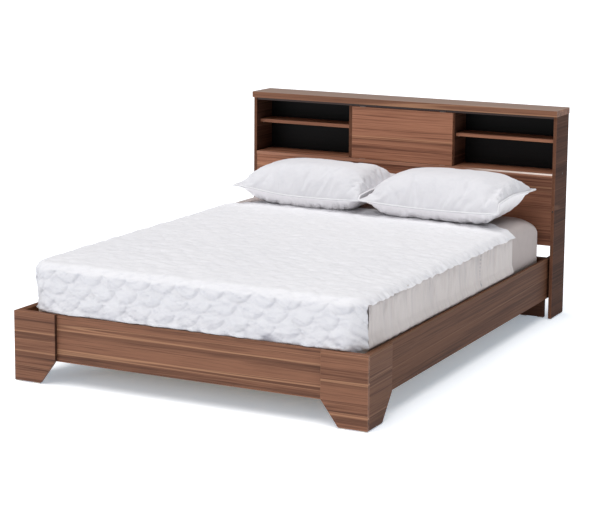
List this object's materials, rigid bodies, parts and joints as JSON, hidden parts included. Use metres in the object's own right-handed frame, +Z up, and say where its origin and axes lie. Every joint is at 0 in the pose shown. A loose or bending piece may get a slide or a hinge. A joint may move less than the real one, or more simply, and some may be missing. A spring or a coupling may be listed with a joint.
{
  "type": "storage bed",
  "caption": "Low panel bed with tapered corner legs, slatted base, mattress, cover and pillows; the headboard is an open shelf unit with a sliding door.",
  "frame": {"origin": "on the floor, in the middle of the footprint", "axes": "+X to the right seen from the foot, +Y from the foot to the head, +Z up"},
  "size_m": [1.632, 2.251, 1.012],
  "materials": {
    "laminate": "satin walnut-look laminate with fine horizontal grain",
    "back_board": "black faced thin board",
    "dark_track": "dark brown extruded track",
    "nylon": "plain moulded nylon",
    "zinc_steel": "zinc plated",
    "dark_screw": "dark brown coated screw heads",
    "pine": "bare planed softwood",
    "bed_linen": "white cotton",
    "quilting": "white quilted cotton with fine ribs"
  },
  "bodies": {
    "bed": {"back_panel": "back_board", "beam_hangers": "zinc_steel", "bottom_shelf": "laminate", "centre_beam": "pine", "centre_leg_1": "pine", "centre_leg_2": "pine", "centre_leg_3": "pine", "corner_block_left": "pine", "corner_block_right": "pine", "divider_left": "laminate", "divider_right": "laminate", "floor_glides": "nylon", "foot_leg_front_left": "laminate", "foot_leg_front_right": "laminate", "foot_leg_side_left": "laminate", "foot_leg_side_right": "laminate", "foot_rail": "laminate", "head_leg_left": "laminate", "head_leg_right": "laminate", "head_rail": "laminate", "headboard_bolts": "zinc_steel", "headboard_cap": "laminate", "headboard_side_left": "laminate", "headboard_side_right": "laminate", "leg_screws": "zinc_steel", "lower_door_track": "dark_track", "lower_front_panel": "laminate", "mattress": "bed_linen", "mid_shelf_left": "laminate", "mid_shelf_right": "laminate", "pillow_left": "bed_linen", "pillow_right": "bed_linen", "quilted_cover": "quilting", "rail_spacer_left": "laminate", "rail_spacer_right": "laminate", "shelf_pins": "zinc_steel", "shelf_screws": "dark_screw", "side_cleat_left": "pine", "side_cleat_right": "pine", "side_rail_left": "laminate", "side_rail_right": "laminate", "slat_01": "pine", "slat_02": "pine", "slat_03": "pine", "slat_04": "pine", "slat_05": "pine", "slat_06": "pine", "slat_07": "pine", "slat_08": "pine", "slat_09": "pine", "slat_10": "pine", "slat_11": "pine", "slat_12": "pine", "upper_door_track": "dark_track"},
    "door": {"sliding_door": "laminate", "door_top_guides": "nylon", "door_bottom_glides": "nylon"}
  },
  "joints": [
    {"name": "door_slide", "type": "slide", "parent": "bed", "child": "door", "axis": [1, 0, 0], "range_m": [-0.536, 0.516]}
  ]
}
